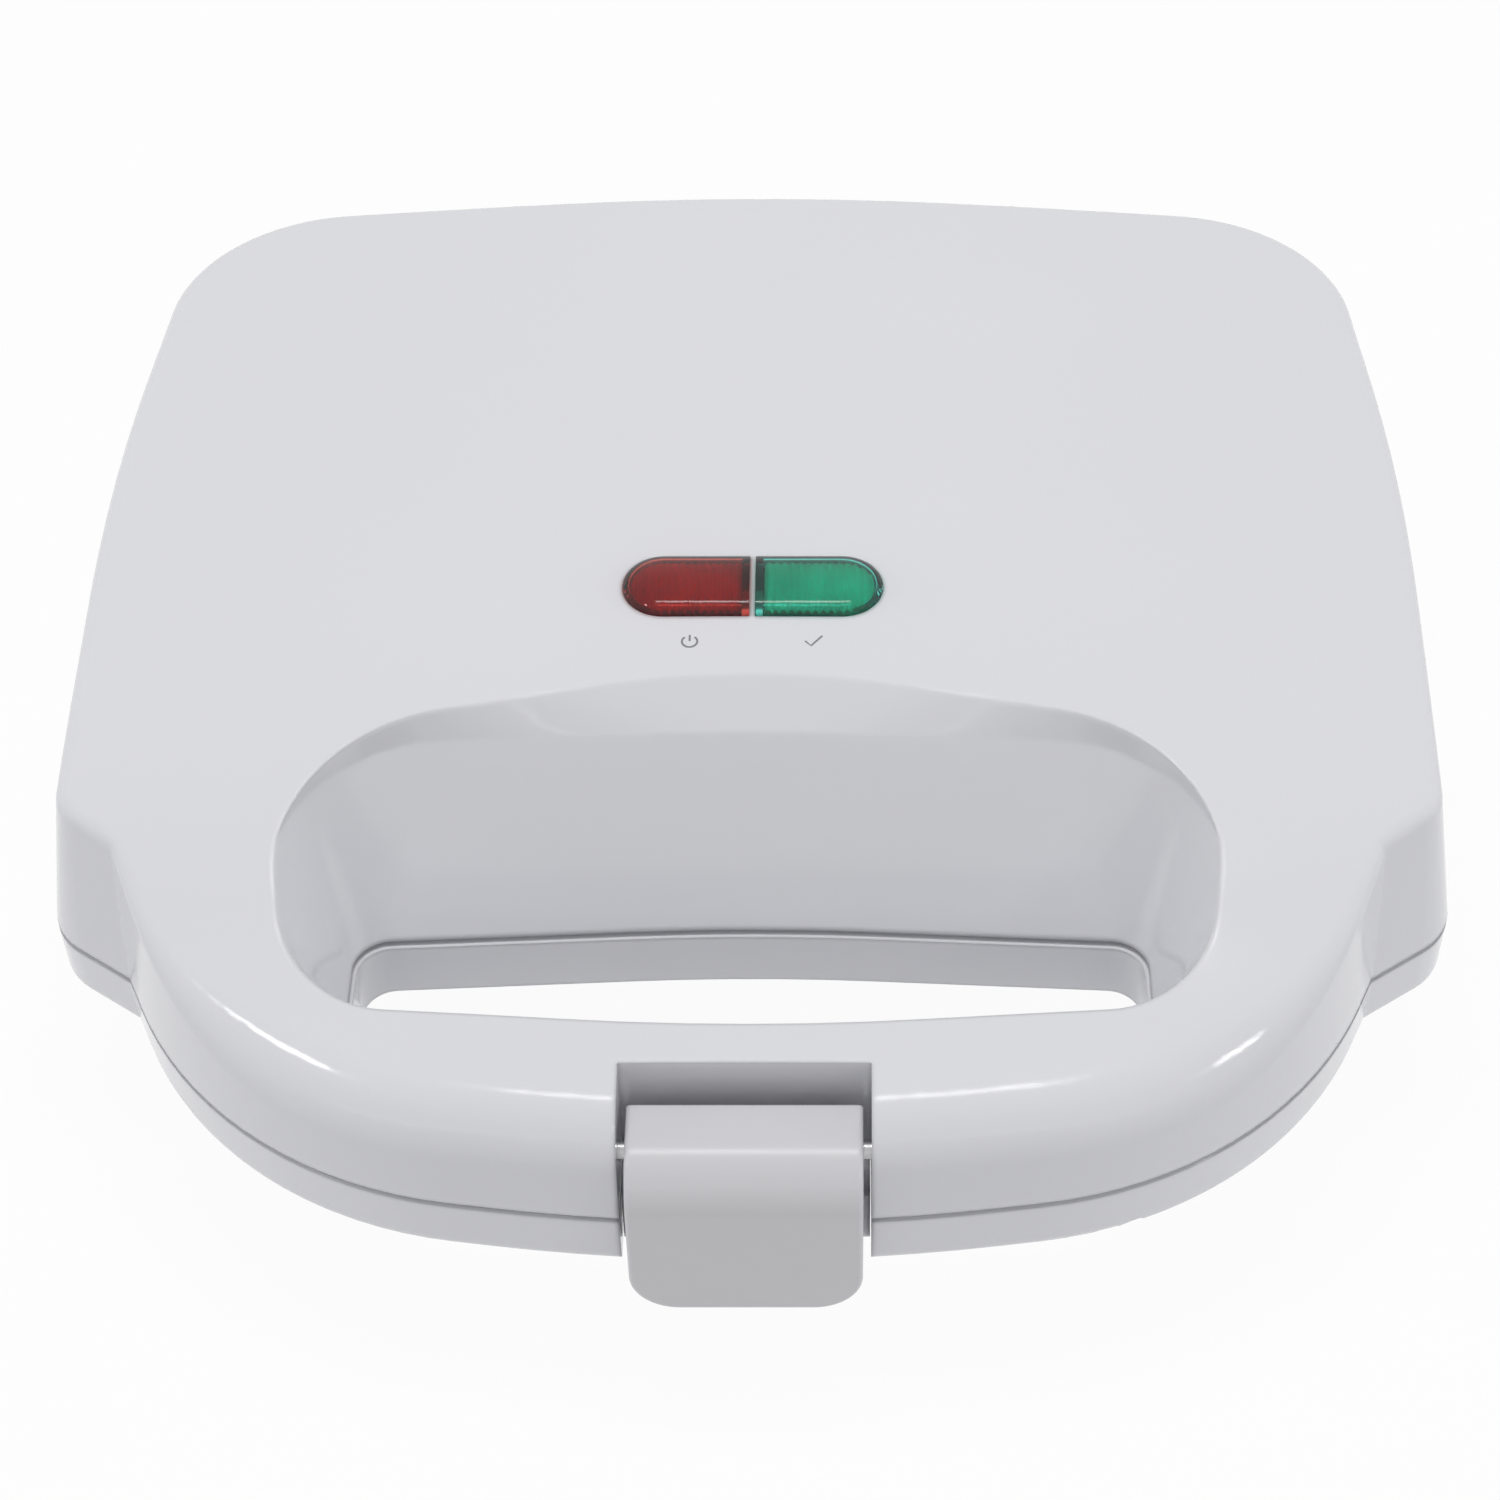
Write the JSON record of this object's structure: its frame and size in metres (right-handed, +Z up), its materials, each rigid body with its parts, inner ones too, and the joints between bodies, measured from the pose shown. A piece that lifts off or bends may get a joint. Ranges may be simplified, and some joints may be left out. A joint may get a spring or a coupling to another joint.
{
  "type": "sandwich maker",
  "caption": "White clamshell sandwich maker with a loop handle, front latch clip, pill-shaped indicator window and triangular toasting pockets.",
  "frame": {"origin": "centre of the footprint box on the surface that the feet stand on", "axes": "+X to the right seen from the handle side, +Y from the handle towards the hinge, +Z up"},
  "size_m": [0.24, 0.2413, 0.0795],
  "materials": {
    "white_shell": "smooth glossy white moulding",
    "latch_plastic": "smooth glossy white moulding",
    "frame_plastic": "finely grained heat-resistant plastic",
    "nonstick_plate": "cast with a dark non-stick coating",
    "element_sheath": "drawn tube, heat-dulled",
    "reflector_sheet": "pressed plated sheet",
    "screw_steel": "zinc-plated",
    "pin_steel": "ground rod",
    "red_lens": "translucent moulding",
    "green_lens": "translucent moulding",
    "lamp_glass": "clear blown tube",
    "holder_plastic": "cream heat-resistant plastic",
    "wire_sleeve": "woven glass-fibre sleeve",
    "foot_rubber": "matt moulded rubber",
    "thermostat_can": "drawn can"
  },
  "bodies": {
    "base": {"base_housing": "white_shell", "inlet_piece": "white_shell", "latch_catch": "white_shell", "base_frame": "frame_plastic", "lower_plate": "nonstick_plate", "lower_heater": "element_sheath", "lower_reflector": "reflector_sheet", "lower_heater_clamps": "reflector_sheet", "base_screws": "screw_steel", "lower_plate_screws": "screw_steel", "lower_reflector_screws": "screw_steel", "hinge_pins": "pin_steel", "terminal_block": "holder_plastic", "base_wires": "wire_sleeve", "feet": "foot_rubber", "cord_bush": "foot_rubber", "thermostat": "thermostat_can", "thermal_fuse": "thermostat_can"},
    "lid": {"lid_cover": "white_shell", "lid_frame": "frame_plastic", "lid_screws": "screw_steel", "red_lens": "red_lens", "green_lens": "green_lens", "red_lamp": "lamp_glass", "green_lamp": "lamp_glass", "lamp_holder": "holder_plastic", "latch_pin": "pin_steel", "lid_wires": "wire_sleeve", "upper_plate": "nonstick_plate", "upper_heater": "element_sheath", "upper_heater_clamps": "reflector_sheet", "upper_reflector": "reflector_sheet", "upper_plate_screws": "screw_steel", "upper_reflector_screws": "screw_steel"},
    "latch": {"latch_clip": "latch_plastic"}
  },
  "joints": [
    {"name": "lid_hinge", "type": "hinge", "parent": "base", "child": "lid", "pos_m": [0, 0.11465, 0.04], "axis": [-1, 0, 0], "range_deg": [0, 100]},
    {"name": "latch_pivot", "type": "hinge", "parent": "lid", "child": "latch", "pos_m": [0, -0.10915, 0.049], "axis": [-1, 0, 0], "range_deg": [-6, 75]}
  ]
}
